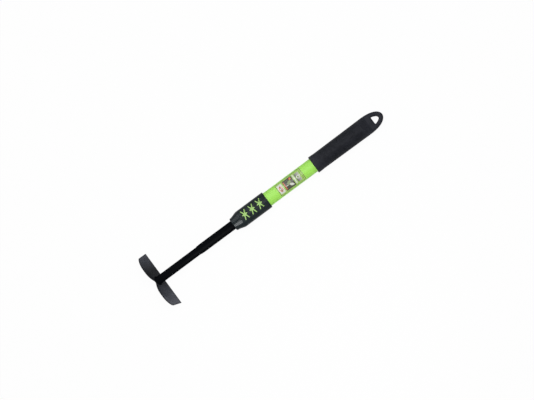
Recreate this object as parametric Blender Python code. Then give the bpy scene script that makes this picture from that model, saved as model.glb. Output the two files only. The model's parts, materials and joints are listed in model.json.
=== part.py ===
"""Telescopic draw hoe with a twist collar that clamps its sliding shaft.

It lies at rest on its cutting edge and on its grip. Metres, +Z up, origin under the middle of its box.
Each piece is modelled along the shaft's own axis: x = 0 where that axis meets the blade, grip at +X.
"""

import math

import bmesh
import bpy
import numpy as np
from mathutils import Matrix, Vector

# Clearances between neighbours
SEAT_GAP = 0.0003
RUN_GAP = 0.0004

# Blade, a sheet folded back towards the user
BLADE_ANGLE = math.radians(65)
BLADE_THICKNESS = 0.002
BLADE_EDGE_WIDTH = 0.1369
BLADE_SHOULDER_WIDTH = 0.1294
BLADE_NOTCH_DEPTH = 0.0415
BLADE_LOBE_RISE = 0.013
BLADE_LOBE_FULLNESS = 2.7
BLADE_NOTCH_RADIUS = 0.003
BLADE_CORNER_RADIUS = 0.0035
BLADE_BEVEL_LENGTH = 0.0075
BLADE_EDGE_THICKNESS = 0.0006

# Neck tube, welded to the blade and pushed into the shaft tube
NECK_OUTER = 0.0189
NECK_WALL = 0.0015
NECK_VISIBLE = 0.1131
NECK_INSERTION = 0.035
WELD_LEG = 0.0026
WELD_END_LEG = 0.0012
WELD_BULGE = 0.25
WELD_OPEN_ANGLE = math.radians(38)

# Shaft tube, which slides and turns in the handle
SHAFT_WALL = 0.0009
SHAFT_VISIBLE = 0.0951
SHAFT_LIP_LENGTH = 0.009
SHAFT_LIP_WALL = 0.00045

# Guide bush on the hidden end of the shaft tube
BUSH_LENGTH = 0.020
BUSH_END_WALL = 0.002
BUSH_VENT = 0.008
BUSH_GROOVE_WIDTH = 0.004
BUSH_GROOVE_DEPTH = 0.0018
BUSH_GROOVES = 6

# Barrel, the outer tube of the handle
BARREL_OUTER = 0.0338
BARREL_WALL = 0.0015
BARREL_VISIBLE = 0.1285
BARREL_IN_COLLAR = 0.0352
BARREL_IN_GRIP = 0.1405
BUSH_SETBACK = 0.001

# Collet, pressed into the barrel's front end
COLLET_SPIGOT_LENGTH = 0.0175
COLLET_FLANGE_LENGTH = 0.0022
COLLET_THREAD_LENGTH = 0.026
COLLET_THREAD_STEP = 0.0008
COLLET_FINGER_LENGTH = 0.024
COLLET_FINGER_STEP = 0.0006
COLLET_FINGER_WALL = 0.0016
COLLET_SLOT_WIDTH = 0.0016
COLLET_SLOT_PAIRS = 3

# Twist collar, a rigid core with a soft sleeve moulded over it
COLLAR_LENGTH = 0.0945
COLLAR_CORE_WALL = 0.0012
COLLAR_SLEEVE_WALL = 0.0014
COLLAR_NOSE_WALL = 0.00425
COLLAR_NOSE_DROP = 0.0018
COLLAR_NOSE_CHAMFER = 0.0014
COLLAR_NOSE_LENGTH = 0.0075
COLLAR_NOSE_RISE = 0.0008
COLLAR_CONE_LENGTH = 0.0115
COLLAR_CONE_ROUND = 0.003
COLLAR_CONE_SAG = 0.0005
COLLAR_REAR_ROUND = 0.0009
COLLAR_LIP = 0.0016
COLLAR_TURN = math.radians(-5)

# Star windows in the sleeve, filled by raised stars on the core
STAR_PITCH = 0.0201
STAR_ROW_CENTRE = 0.0554
STARS_IN_ROW = 3
STAR_ROWS = 2
STAR_LONG_ARM = 0.0134
STAR_SHORT_ARM = 0.0067
STAR_LONG_ARM_ANGLE = math.radians(67.6)
STAR_TIP_HALF_WIDTH = 0.0011
STAR_END_VALLEY_RADIUS = 0.0034
STAR_SIDE_VALLEY_RADIUS = 0.0045
STAR_RECESS = 0.00015

# Grip, a closed sleeve with a rim at its mouth and a flattened tail that carries the hang hole
GRIP_LENGTH = 0.1909
GRIP_WALL = 0.0031
GRIP_SWELL = 0.001
GRIP_RIM_LENGTH = 0.0165
GRIP_RIM_RISE = 0.0005
GRIP_MOUTH_ROUND = 0.0012
GRIP_TAIL_LENGTH = 0.0566
GRIP_TAIL_FULLNESS = 2.86
GRIP_TAIL_THICKNESS = 0.018
GRIP_TAIL_EDGE_RADIUS = 0.0055
GRIP_FLATTEN_LENGTH = 0.019
HANG_HOLE_WIDTH = 0.0182
HANG_HOLE_LENGTH = 0.0147
HANG_HOLE_TIP_WALL = 0.0111
HANG_HOLE_CORNER = 0.0018
HANG_HOLE_EDGE_ROUND = 0.004
HANG_HOLE_TAPER = 1.15
HANG_HOLE_FULLNESS = 0.48

# Fineness of the round shapes
SHARP_ANGLE = math.radians(30)
TUBE_SIDES = 40
COLLAR_SIDES = 48
BLADE_STATIONS = 56
BLADE_CORNER_STATIONS = 5
WELD_STATIONS = 28
STAR_RINGS = 4
GRIP_CORNER_POINTS = 10
GRIP_ROUND_STEPS = 3
GRIP_RIM_STEPS = 4
GRIP_TAIL_STATIONS = 32
GRIP_TIP_STATIONS = 2
HANG_HOLE_STATIONS = 9
HANG_HOLE_EDGE_STEPS = 5

# Radii that follow from the sizes above
NECK_RADIUS = NECK_OUTER / 2
SHAFT_BORE_RADIUS = NECK_RADIUS + SEAT_GAP
SHAFT_RADIUS = SHAFT_BORE_RADIUS + SHAFT_WALL
BARREL_RADIUS = BARREL_OUTER / 2
BARREL_BORE_RADIUS = BARREL_RADIUS - BARREL_WALL
COLLET_BORE_RADIUS = SHAFT_RADIUS + RUN_GAP
THREAD_RADIUS = BARREL_RADIUS - COLLET_THREAD_STEP
FINGER_ROOT_RADIUS = THREAD_RADIUS - COLLET_FINGER_STEP
FINGER_TIP_RADIUS = COLLET_BORE_RADIUS + COLLET_FINGER_WALL
COLLAR_BORE_RADIUS = SHAFT_RADIUS + RUN_GAP
CORE_RADIUS = BARREL_RADIUS + RUN_GAP + COLLAR_CORE_WALL
SLEEVE_BORE_RADIUS = CORE_RADIUS + SEAT_GAP
COLLAR_RADIUS = SLEEVE_BORE_RADIUS + COLLAR_SLEEVE_WALL
NOSE_RADIUS = COLLAR_BORE_RADIUS + COLLAR_NOSE_WALL
GRIP_BORE_RADIUS = BARREL_RADIUS + SEAT_GAP
GRIP_MOUTH_RADIUS = GRIP_BORE_RADIUS + GRIP_WALL
GRIP_SWELL_RADIUS = GRIP_MOUTH_RADIUS + GRIP_SWELL

# Places along the shaft's axis that follow from the sizes above
SHAFT_FRONT = NECK_VISIBLE
COLLAR_FRONT = SHAFT_FRONT + SHAFT_VISIBLE
COLLAR_REAR = COLLAR_FRONT + COLLAR_LENGTH
BARREL_FRONT = COLLAR_REAR - BARREL_IN_COLLAR
GRIP_FRONT = COLLAR_REAR + BARREL_VISIBLE
GRIP_END = GRIP_FRONT + GRIP_LENGTH
BARREL_REAR = GRIP_FRONT + BARREL_IN_GRIP
BUSH_REAR = BARREL_REAR - BUSH_SETBACK
BUSH_FRONT = BUSH_REAR - BUSH_LENGTH
SHAFT_REAR = BUSH_REAR - BUSH_END_WALL - SEAT_GAP
FLANGE_REAR = BARREL_FRONT - SEAT_GAP
FLANGE_FRONT = FLANGE_REAR - COLLET_FLANGE_LENGTH
THREAD_FRONT = FLANGE_FRONT - COLLET_THREAD_LENGTH
COLLET_FRONT = THREAD_FRONT - COLLET_FINGER_LENGTH
COLLET_REAR = BARREL_FRONT + COLLET_SPIGOT_LENGTH
NOSE_END = COLLAR_FRONT + COLLAR_NOSE_LENGTH
CONE_END = NOSE_END + COLLAR_CONE_LENGTH
TAIL_START = GRIP_END - GRIP_TAIL_LENGTH
HANG_HOLE_REAR = GRIP_END - HANG_HOLE_TIP_WALL
HANG_HOLE_FRONT = HANG_HOLE_REAR - HANG_HOLE_LENGTH


def clear_scene():
    for obj in list(bpy.data.objects):
        bpy.data.objects.remove(obj, do_unlink=True)


def finish_material(name, colour, roughness, metallic=0.0):
    material = bpy.data.materials.new(name)
    material.use_nodes = True
    shader = material.node_tree.nodes["Principled BSDF"]
    shader.inputs["Base Color"].default_value = (*colour, 1.0)
    shader.inputs["Roughness"].default_value = roughness
    shader.inputs["Metallic"].default_value = metallic
    return material


def make_empty(name, parent=None):
    empty = bpy.data.objects.new(name, None)
    empty.parent = parent
    bpy.context.scene.collection.objects.link(empty)
    return empty


def make_object(name, bm, x=0.0, material=None, parent=None):
    """Makes an object whose origin is on the shaft's axis at x, from a bmesh drawn in the shaft's frame."""
    bmesh.ops.recalc_face_normals(bm, faces=bm.faces)
    bmesh.ops.translate(bm, verts=bm.verts, vec=(-x, 0.0, 0.0))
    mesh = bpy.data.meshes.new(name)
    bm.to_mesh(mesh)
    bm.free()
    shade(mesh)
    obj = bpy.data.objects.new(name, mesh)
    obj.location = (x, 0.0, 0.0)
    obj.parent = parent
    if material:
        mesh.materials.append(material)
    bpy.context.scene.collection.objects.link(obj)
    return obj


def shade(mesh):
    mesh.shade_smooth()
    mesh.set_sharp_from_angle(angle=SHARP_ANGLE)


def combine(obj, operation, bm, name, x):
    """Cuts or joins a bmesh drawn in the shaft's frame into an object, and applies the result."""
    cutter = make_object(name, bm, x, parent=obj.parent)
    cutter.hide_render = True
    cutter.display_type = "WIRE"
    modifier = obj.modifiers.new(name, "BOOLEAN")
    modifier.operation = operation
    modifier.object = cutter
    modifier.solver = "EXACT"
    shaped = bpy.data.meshes.new_from_object(obj.evaluated_get(bpy.context.evaluated_depsgraph_get()))
    obj.modifiers.clear()
    obj.data = shaped
    shade(shaped)
    bpy.data.objects.remove(cutter, do_unlink=True)


def smooth_step(share):
    share = min(max(share, 0.0), 1.0)
    return share * share * (3 - 2 * share)


def mix(first, second, share):
    return first + (second - first) * share


def turned(profile, sides):
    """A ring turned about the X axis from a closed profile of (x, radius) points."""
    bm = bmesh.new()
    corners = [bm.verts.new((x, 0.0, radius)) for x, radius in profile]
    edges = [bm.edges.new(pair) for pair in zip(corners, corners[1:] + corners[:1])]
    bmesh.ops.spin(
        bm,
        geom=corners + edges,
        cent=(0.0, 0.0, 0.0),
        axis=(1.0, 0.0, 0.0),
        angle=math.tau,
        steps=sides,
        use_merge=True,
    )
    return bm


def lofted(rings, closed=False):
    """Joins rings of points into one skin, with a cap on each end unless the rings close on themselves."""
    bm = bmesh.new()
    loops = [[bm.verts.new(point) for point in ring] for ring in rings]
    pairs = list(zip(loops, loops[1:]))
    if closed:
        pairs.append((loops[-1], loops[0]))
    for first, second in pairs:
        for i in range(len(first)):
            j = (i + 1) % len(first)
            bm.faces.new((first[i], first[j], second[j], second[i]))
    if not closed:
        bm.faces.new(loops[0])
        bm.faces.new(reversed(loops[-1]))
    return bm


def add_box(bm, low, high, turn):
    """Adds a box between two corners, then turns it about the shaft's axis."""
    size = Vector(high) - Vector(low)
    made = bmesh.ops.create_cube(bm, size=1.0)["verts"]
    bmesh.ops.scale(bm, verts=made, vec=size)
    bmesh.ops.translate(bm, verts=made, vec=(Vector(high) + Vector(low)) / 2)
    bmesh.ops.rotate(bm, verts=made, cent=(0.0, 0.0, 0.0), matrix=Matrix.Rotation(turn, 3, "X"))


def blade_point(across, up, out):
    """A point of the blade: across it, up its face from the shaft's axis, and out of its inner face."""
    x = -up * math.cos(BLADE_ANGLE) + out * math.sin(BLADE_ANGLE)
    z = up * math.sin(BLADE_ANGLE) + out * math.cos(BLADE_ANGLE)
    return Vector((x, across, z))


def blade_top(across, notch):
    """Height of the top edge at this distance from the middle: a lobe on each side of the notch."""
    half = BLADE_SHOULDER_WIDTH / 2
    lobe_middle = (half + BLADE_NOTCH_RADIUS) / 2
    lobe_reach = (half - BLADE_NOTCH_RADIUS) / 2
    share = min(abs(math.hypot(across, BLADE_NOTCH_RADIUS) - lobe_middle) / lobe_reach, 1.0)
    rise = BLADE_LOBE_RISE * (1 - share**BLADE_LOBE_FULLNESS)
    past = max(0.0, abs(across) - (half - BLADE_CORNER_RADIUS))
    drop = BLADE_CORNER_RADIUS - math.sqrt(max(0.0, BLADE_CORNER_RADIUS**2 - past**2))
    return notch + rise - drop


def blade_stations():
    """Distances from the middle at which the blade is drawn, close together at its round corners."""
    straight = BLADE_SHOULDER_WIDTH / 2 - BLADE_CORNER_RADIUS
    corner = []
    for step in range(1, BLADE_CORNER_STATIONS + 1):
        corner.append(straight + BLADE_CORNER_RADIUS * math.sin(math.pi / 2 * step / BLADE_CORNER_STATIONS))
    middle = [straight * (2 * station / BLADE_STATIONS - 1) for station in range(BLADE_STATIONS + 1)]
    return [-across for across in reversed(corner)] + middle + corner


def make_blade(material, parent):
    """A flat sheet with a lobed top, flared sides and a bevel ground on its inner face."""
    notch = NECK_RADIUS / math.sin(BLADE_ANGLE)
    edge = notch - BLADE_NOTCH_DEPTH
    bevel = edge + BLADE_BEVEL_LENGTH
    ground = BLADE_EDGE_THICKNESS - BLADE_THICKNESS
    rings = []
    for station in blade_stations():
        top = blade_top(station, notch)
        outline = [(top, 0.0), (bevel, 0.0), (edge, ground)]
        outline += [(edge, -BLADE_THICKNESS), (top, -BLADE_THICKNESS)]
        ring = []
        for up, out in outline:
            flare = mix(BLADE_EDGE_WIDTH, BLADE_SHOULDER_WIDTH, (up - edge) / BLADE_NOTCH_DEPTH)
            ring.append(blade_point(station * flare / BLADE_SHOULDER_WIDTH, up, out))
        rings.append(ring)
    return make_object("blade", lofted(rings), material=material, parent=parent)


def make_weld(material, parent):
    """A fillet round the oblique end of the neck tube, open at the blade's notch."""
    radius = NECK_RADIUS + SEAT_GAP
    rings = []
    for station in range(WELD_STATIONS + 1):
        share = station / WELD_STATIONS
        turn = mix(WELD_OPEN_ANGLE, math.tau - WELD_OPEN_ANGLE, share)
        leg = mix(WELD_END_LEG, WELD_LEG, math.sqrt(math.sin(math.pi * share)))
        y, z = math.sin(turn), math.cos(turn)
        corner = blade_point(radius * y, radius * z / math.sin(BLADE_ANGLE), 0.0)
        corner.x += SEAT_GAP / math.sin(BLADE_ANGLE)
        outward = blade_point(y, z / math.sin(BLADE_ANGLE), 0.0).normalized()
        on_tube = corner + Vector((leg, 0.0, 0.0))
        on_blade = corner + outward * leg
        crown = (on_tube + on_blade) / 2
        crown += (crown - corner) * WELD_BULGE
        rings.append([corner, on_tube, crown, on_blade])
    return make_object("weld_bead", lofted(rings), material=material, parent=parent)


def make_neck_tube(material, parent):
    """The neck tube, its front end cut to the blade's slope."""
    slope = 1 / math.tan(BLADE_ANGLE)
    front_gap = SEAT_GAP / math.sin(BLADE_ANGLE)
    rear = NECK_VISIBLE + NECK_INSERTION
    rings = [[], [], [], []]
    for side in range(TUBE_SIDES):
        turn = math.tau * side / TUBE_SIDES
        y, z = math.sin(turn), math.cos(turn)
        outer = Vector((0.0, y, z)) * NECK_RADIUS
        inner = Vector((0.0, y, z)) * (NECK_RADIUS - NECK_WALL)
        rings[0].append(outer + Vector((front_gap - outer.z * slope, 0.0, 0.0)))
        rings[1].append(outer + Vector((rear, 0.0, 0.0)))
        rings[2].append(inner + Vector((rear, 0.0, 0.0)))
        rings[3].append(inner + Vector((front_gap - inner.z * slope, 0.0, 0.0)))
    return make_object("neck_tube", lofted(rings, closed=True), material=material, parent=parent)


def make_shaft_tube(material, parent):
    """The sliding tube, its front lip rolled down towards the neck tube."""
    profile = [
        (SHAFT_FRONT, SHAFT_BORE_RADIUS),
        (SHAFT_FRONT, SHAFT_BORE_RADIUS + SHAFT_LIP_WALL),
        (SHAFT_FRONT + SHAFT_LIP_LENGTH, SHAFT_RADIUS),
        (SHAFT_REAR, SHAFT_RADIUS),
        (SHAFT_REAR, SHAFT_BORE_RADIUS),
    ]
    bm = turned(profile, TUBE_SIDES)
    return make_object("shaft_tube", bm, COLLAR_FRONT, material, parent)


def make_guide_bush(material, parent):
    """The cup on the shaft tube's hidden end, grooved so that air passes it in the barrel."""
    outer = BARREL_BORE_RADIUS - SEAT_GAP
    inner = SHAFT_RADIUS + SEAT_GAP
    wall_face = BUSH_REAR - BUSH_END_WALL
    profile = [
        (BUSH_FRONT, inner),
        (BUSH_FRONT, outer),
        (BUSH_REAR, outer),
        (BUSH_REAR, BUSH_VENT / 2),
        (wall_face, BUSH_VENT / 2),
        (wall_face, inner),
    ]
    bush = make_object("guide_bush", turned(profile, TUBE_SIDES), BUSH_FRONT, material, parent)
    cut = bmesh.new()
    half = BUSH_GROOVE_WIDTH / 2
    floor = outer - BUSH_GROOVE_DEPTH
    for groove in range(BUSH_GROOVES):
        low = (BUSH_FRONT - BUSH_LENGTH, -half, floor)
        high = (BUSH_REAR + BUSH_LENGTH, half, outer + BUSH_GROOVE_DEPTH)
        add_box(cut, low, high, math.tau * (groove + 0.5) / BUSH_GROOVES)
    combine(bush, "DIFFERENCE", cut, "bush_grooves", BUSH_FRONT)
    return bush


def make_collet(material, parent):
    """The split cone that the collar squeezes on the shaft tube."""
    spigot = BARREL_BORE_RADIUS - SEAT_GAP
    profile = [
        (COLLET_FRONT, COLLET_BORE_RADIUS),
        (COLLET_FRONT, FINGER_TIP_RADIUS),
        (THREAD_FRONT, FINGER_ROOT_RADIUS),
        (THREAD_FRONT, THREAD_RADIUS),
        (FLANGE_FRONT, THREAD_RADIUS),
        (FLANGE_FRONT, BARREL_RADIUS),
        (FLANGE_REAR, BARREL_RADIUS),
        (FLANGE_REAR, spigot),
        (COLLET_REAR, spigot),
        (COLLET_REAR, COLLET_BORE_RADIUS),
    ]
    collet = make_object("collet", turned(profile, TUBE_SIDES), COLLET_FRONT, material, parent)
    cut = bmesh.new()
    half = COLLET_SLOT_WIDTH / 2
    for slot in range(COLLET_SLOT_PAIRS):
        low = (COLLET_FRONT - COLLET_FINGER_LENGTH, -half, -BARREL_OUTER)
        high = (THREAD_FRONT - COLLET_SLOT_WIDTH, half, BARREL_OUTER)
        add_box(cut, low, high, math.pi * (slot + 0.5) / COLLET_SLOT_PAIRS)
    combine(collet, "DIFFERENCE", cut, "collet_slots", COLLET_FRONT)
    return collet


def make_barrel(material, parent):
    profile = [
        (BARREL_FRONT, BARREL_BORE_RADIUS),
        (BARREL_FRONT, BARREL_RADIUS),
        (BARREL_REAR, BARREL_RADIUS),
        (BARREL_REAR, BARREL_BORE_RADIUS),
    ]
    return make_object("barrel_tube", turned(profile, TUBE_SIDES), BARREL_FRONT, material, parent)


def star_outline(clearance):
    """A six-armed star as (along, round) points: two short arms on the axis and four long slanting ones."""
    half_turn = math.pi
    arms = [
        (0.0, STAR_SHORT_ARM, STAR_END_VALLEY_RADIUS),
        (STAR_LONG_ARM_ANGLE, STAR_LONG_ARM, STAR_SIDE_VALLEY_RADIUS),
        (half_turn - STAR_LONG_ARM_ANGLE, STAR_LONG_ARM, STAR_END_VALLEY_RADIUS),
        (half_turn, STAR_SHORT_ARM, STAR_END_VALLEY_RADIUS),
        (half_turn + STAR_LONG_ARM_ANGLE, STAR_LONG_ARM, STAR_SIDE_VALLEY_RADIUS),
        (math.tau - STAR_LONG_ARM_ANGLE, STAR_LONG_ARM, STAR_END_VALLEY_RADIUS),
    ]
    following = [angle for angle, *_ in arms[1:]] + [math.tau]
    points = []
    for (angle, length, depth), next_angle in zip(arms, following):
        along = Vector((math.cos(angle), math.sin(angle)))
        beside = Vector((-along.y, along.x)) * (STAR_TIP_HALF_WIDTH + clearance)
        tip = along * (length + clearance)
        between = (angle + next_angle) / 2
        valley = Vector((math.cos(between), math.sin(between))) * (depth + clearance)
        points += [tip - beside, tip + beside, valley]
    return points


def add_star(bm, x, turn, low, high, clearance):
    """Adds one star, bent round the collar between two radii."""
    outline = star_outline(clearance)

    def bent(point, radius):
        angle = turn + point.y / COLLAR_RADIUS
        return bm.verts.new((x + point.x, -radius * math.sin(angle), radius * math.cos(angle)))

    sheets = []
    for radius in (low, high):
        centre = bent(Vector((0.0, 0.0)), radius)
        rings = []
        for ring in range(1, STAR_RINGS + 1):
            rings.append([bent(point * ring / STAR_RINGS, radius) for point in outline])
        sheets.append((centre, rings))
    for centre, rings in sheets:
        for i in range(len(outline)):
            j = (i + 1) % len(outline)
            bm.faces.new((centre, rings[0][i], rings[0][j]))
            for inner, outer in zip(rings, rings[1:]):
                bm.faces.new((inner[i], outer[i], outer[j], inner[j]))
    under, over = sheets[0][1][-1], sheets[1][1][-1]
    for i in range(len(outline)):
        j = (i + 1) % len(outline)
        bm.faces.new((under[i], under[j], over[j], over[i]))


def add_stars(bm, low, high, clearance):
    first = COLLAR_FRONT + STAR_ROW_CENTRE - STAR_PITCH * (STARS_IN_ROW - 1) / 2
    for row in range(STAR_ROWS):
        for star in range(STARS_IN_ROW):
            add_star(bm, first + star * STAR_PITCH, math.tau * row / STAR_ROWS, low, high, clearance)


def make_collar_core(material, parent):
    """The rigid core: it turns on the collet's thread, and its cone squeezes the collet's fingers."""
    front = COLLAR_FRONT + COLLAR_LIP + SEAT_GAP
    nose = NOSE_RADIUS - COLLAR_SLEEVE_WALL
    profile = [
        (front, COLLAR_BORE_RADIUS),
        (front, nose),
        (NOSE_END, nose + COLLAR_NOSE_RISE),
        (CONE_END, CORE_RADIUS - COLLAR_CONE_SAG),
        (CONE_END + COLLAR_CONE_ROUND, CORE_RADIUS),
        (COLLAR_REAR, CORE_RADIUS),
        (COLLAR_REAR, BARREL_RADIUS + RUN_GAP),
        (FLANGE_FRONT - RUN_GAP, BARREL_RADIUS + RUN_GAP),
        (FLANGE_FRONT - RUN_GAP, THREAD_RADIUS + RUN_GAP),
        (THREAD_FRONT - RUN_GAP, THREAD_RADIUS + RUN_GAP),
        (THREAD_FRONT - RUN_GAP, FINGER_ROOT_RADIUS + RUN_GAP),
        (COLLET_FRONT - RUN_GAP, FINGER_TIP_RADIUS + RUN_GAP),
        (COLLET_FRONT - RUN_GAP, COLLAR_BORE_RADIUS),
    ]
    core = make_object("collar_core", turned(profile, COLLAR_SIDES), COLLAR_FRONT, material, parent)
    stars = bmesh.new()
    inside_wall = CORE_RADIUS - COLLAR_CORE_WALL / 2
    add_stars(stars, inside_wall, COLLAR_RADIUS - STAR_RECESS, 0.0)
    combine(core, "UNION", stars, "raised_stars", COLLAR_FRONT)
    return core


def make_collar_sleeve(material, parent):
    """The soft sleeve over the core, with a window for each star."""
    core_front = COLLAR_FRONT + COLLAR_LIP
    inner_nose = NOSE_RADIUS - COLLAR_SLEEVE_WALL + SEAT_GAP
    profile = [
        (COLLAR_FRONT, COLLAR_BORE_RADIUS),
        (COLLAR_FRONT, NOSE_RADIUS - COLLAR_NOSE_DROP),
        (COLLAR_FRONT + COLLAR_NOSE_CHAMFER, NOSE_RADIUS),
        (NOSE_END, NOSE_RADIUS + COLLAR_NOSE_RISE),
        (CONE_END, COLLAR_RADIUS - COLLAR_CONE_SAG),
        (CONE_END + COLLAR_CONE_ROUND, COLLAR_RADIUS),
        (COLLAR_REAR - COLLAR_REAR_ROUND, COLLAR_RADIUS),
        (COLLAR_REAR, COLLAR_RADIUS - COLLAR_REAR_ROUND),
        (COLLAR_REAR, SLEEVE_BORE_RADIUS),
        (CONE_END + COLLAR_CONE_ROUND, SLEEVE_BORE_RADIUS),
        (CONE_END, SLEEVE_BORE_RADIUS - COLLAR_CONE_SAG),
        (NOSE_END, inner_nose + COLLAR_NOSE_RISE),
        (core_front, inner_nose),
        (core_front, COLLAR_BORE_RADIUS),
    ]
    sleeve = make_object("collar_sleeve", turned(profile, COLLAR_SIDES), COLLAR_FRONT, material, parent)
    windows = bmesh.new()
    add_stars(windows, CORE_RADIUS, COLLAR_RADIUS + COLLAR_SLEEVE_WALL, SEAT_GAP)
    combine(sleeve, "DIFFERENCE", windows, "star_windows", COLLAR_FRONT)
    return sleeve


def grip_ring(x, half_width, half_height, corner):
    """One cross-section of the grip: four round corners, which meet where the grip is round."""
    corner = min(corner, half_width, half_height)
    ring = []
    for quarter in range(4):
        for step in range(GRIP_CORNER_POINTS):
            turn = math.pi / 2 * (quarter + (step + 0.5) / GRIP_CORNER_POINTS)
            y, z = math.sin(turn), math.cos(turn)
            middle_y = math.copysign(half_width - corner, y)
            middle_z = math.copysign(half_height - corner, z)
            ring.append(Vector((x, middle_y + corner * y, middle_z + corner * z)))
    return ring


def tail_half_width(x):
    """Half the grip's width at x, from its swell to its tip."""
    share = (x - TAIL_START) / GRIP_TAIL_LENGTH
    return GRIP_SWELL_RADIUS * math.sqrt(1 - share**GRIP_TAIL_FULLNESS)


def grip_mouth_rings():
    """Round cross-sections of the rim at the mouth, from its rounded front to where it ends."""
    rim_radius = GRIP_MOUTH_RADIUS + GRIP_RIM_RISE
    profile = []
    for step in range(GRIP_ROUND_STEPS + 1):
        turn = math.pi / 2 * step / GRIP_ROUND_STEPS
        x = GRIP_FRONT + GRIP_MOUTH_ROUND * (1 - math.cos(turn))
        profile.append((x, rim_radius - GRIP_MOUTH_ROUND * (1 - math.sin(turn))))
    for step in range(GRIP_RIM_STEPS + 1):
        share = step / GRIP_RIM_STEPS
        x = GRIP_FRONT + GRIP_RIM_LENGTH * (1 + share) / 2
        profile.append((x, mix(rim_radius, GRIP_MOUTH_RADIUS, smooth_step(share))))
    return [grip_ring(x, radius, radius, radius) for x, radius in profile]


def grip_rings():
    """Cross-sections from the mouth, along the round body and down the flattened tail to the tip."""
    rings = grip_mouth_rings()
    for station in range(GRIP_TAIL_STATIONS - GRIP_TIP_STATIONS + 1):
        x = TAIL_START + GRIP_TAIL_LENGTH * math.sin(math.pi / 2 * station / GRIP_TAIL_STATIONS)
        width = tail_half_width(x)
        flat = smooth_step((x - TAIL_START) / GRIP_FLATTEN_LENGTH)
        height = mix(width, GRIP_TAIL_THICKNESS / 2, flat)
        corner = mix(width, GRIP_TAIL_EDGE_RADIUS, flat)
        into_end = max(0.0, GRIP_TAIL_EDGE_RADIUS - (GRIP_END - x))
        height -= GRIP_TAIL_EDGE_RADIUS - math.sqrt(GRIP_TAIL_EDGE_RADIUS**2 - into_end**2)
        rings.append(grip_ring(x, width, height, corner))
    return rings


def hang_hole_outline():
    """The rounded triangle of the hang hole, flat towards the barrel, as (x, y) points."""
    half = HANG_HOLE_WIDTH / 2
    side = []
    for turn in (math.pi / 2, math.pi / 4, 0.0):
        x = HANG_HOLE_FRONT + HANG_HOLE_CORNER * (1 - math.sin(turn))
        y = half - HANG_HOLE_CORNER * (1 - math.cos(turn))
        side.append((x, y))
    for step in range(1, HANG_HOLE_STATIONS):
        share = math.sin(math.pi / 2 * step / HANG_HOLE_STATIONS)
        x = mix(HANG_HOLE_FRONT + HANG_HOLE_CORNER, HANG_HOLE_REAR, share)
        y = half * (1 - share**HANG_HOLE_TAPER) ** HANG_HOLE_FULLNESS
        side.append((x, y))
    return side + [(HANG_HOLE_REAR, 0.0)] + [(x, -y) for x, y in reversed(side)]


def widened(points, distance):
    """Moves a closed clockwise outline outwards by a distance."""
    moved = []
    for i, (x, y) in enumerate(points):
        before, after = Vector(points[i - 1]), Vector(points[(i + 1) % len(points)])
        along = (after - before).normalized()
        moved.append((x - along.y * distance, y + along.x * distance))
    return moved


def hang_hole_solid():
    """The solid that the hang hole takes out, flared at both faces so that its edges are rounded."""
    radius = HANG_HOLE_EDGE_ROUND
    face = GRIP_TAIL_THICKNESS / 2
    upper = []
    for step in range(HANG_HOLE_EDGE_STEPS + 1):
        turn = math.pi / 2 * step / HANG_HOLE_EDGE_STEPS
        upper.append((face - radius + radius * math.sin(turn), radius * (1 - math.cos(turn))))
    upper.append((face + radius, radius))
    lower = [(-z, out) for z, out in reversed(upper)]
    outline = hang_hole_outline()
    rings = []
    for z, out in lower + upper:
        rings.append([Vector((x, y, z)) for x, y in widened(outline, out)])
    return lofted(rings)


def grip_socket_solid():
    """The solid of the grip's blind bore, its facets in line with the barrel's."""
    rings = []
    for x in (GRIP_FRONT - GRIP_WALL, BARREL_REAR + SEAT_GAP):
        ring = []
        for side in range(TUBE_SIDES):
            turn = math.tau * side / TUBE_SIDES
            ring.append(Vector((x, GRIP_BORE_RADIUS * math.sin(turn), GRIP_BORE_RADIUS * math.cos(turn))))
        rings.append(ring)
    return lofted(rings)


def make_grip(material, parent):
    """The grip: a closed sleeve pushed over the barrel, with a flattened tail and its hang hole."""
    grip = make_object("grip", lofted(grip_rings()), GRIP_FRONT, material, parent)
    combine(grip, "DIFFERENCE", grip_socket_solid(), "grip_socket", GRIP_FRONT)
    combine(grip, "DIFFERENCE", hang_hole_solid(), "hang_hole", GRIP_FRONT)
    return grip


def lay_down(tool):
    """Leans the tool until its cutting edge and its grip touch the ground, and centres it over the origin."""
    bpy.context.view_layer.update()
    points = {}
    for name in ("blade", "grip", "weld_bead"):
        obj = bpy.data.objects[name]
        points[name] = np.array([obj.matrix_world @ vertex.co for vertex in obj.data.vertices])
    low = points["blade"][points["blade"][:, 2].argmin()]
    across = points["grip"][:, 0] - low[0]
    lean = np.arctan2(points["grip"][:, 2] - low[2], across).min()
    tool.rotation_euler.y = float(lean)
    turn = np.array(Matrix.Rotation(float(lean), 3, "Y"))
    every = np.concatenate(list(points.values())) @ turn.T
    middle = (every.min(axis=0) + every.max(axis=0)) / 2
    tool.location = (-middle[0], 0.0, -every[:, 2].min())
    bpy.context.view_layer.update()


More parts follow.
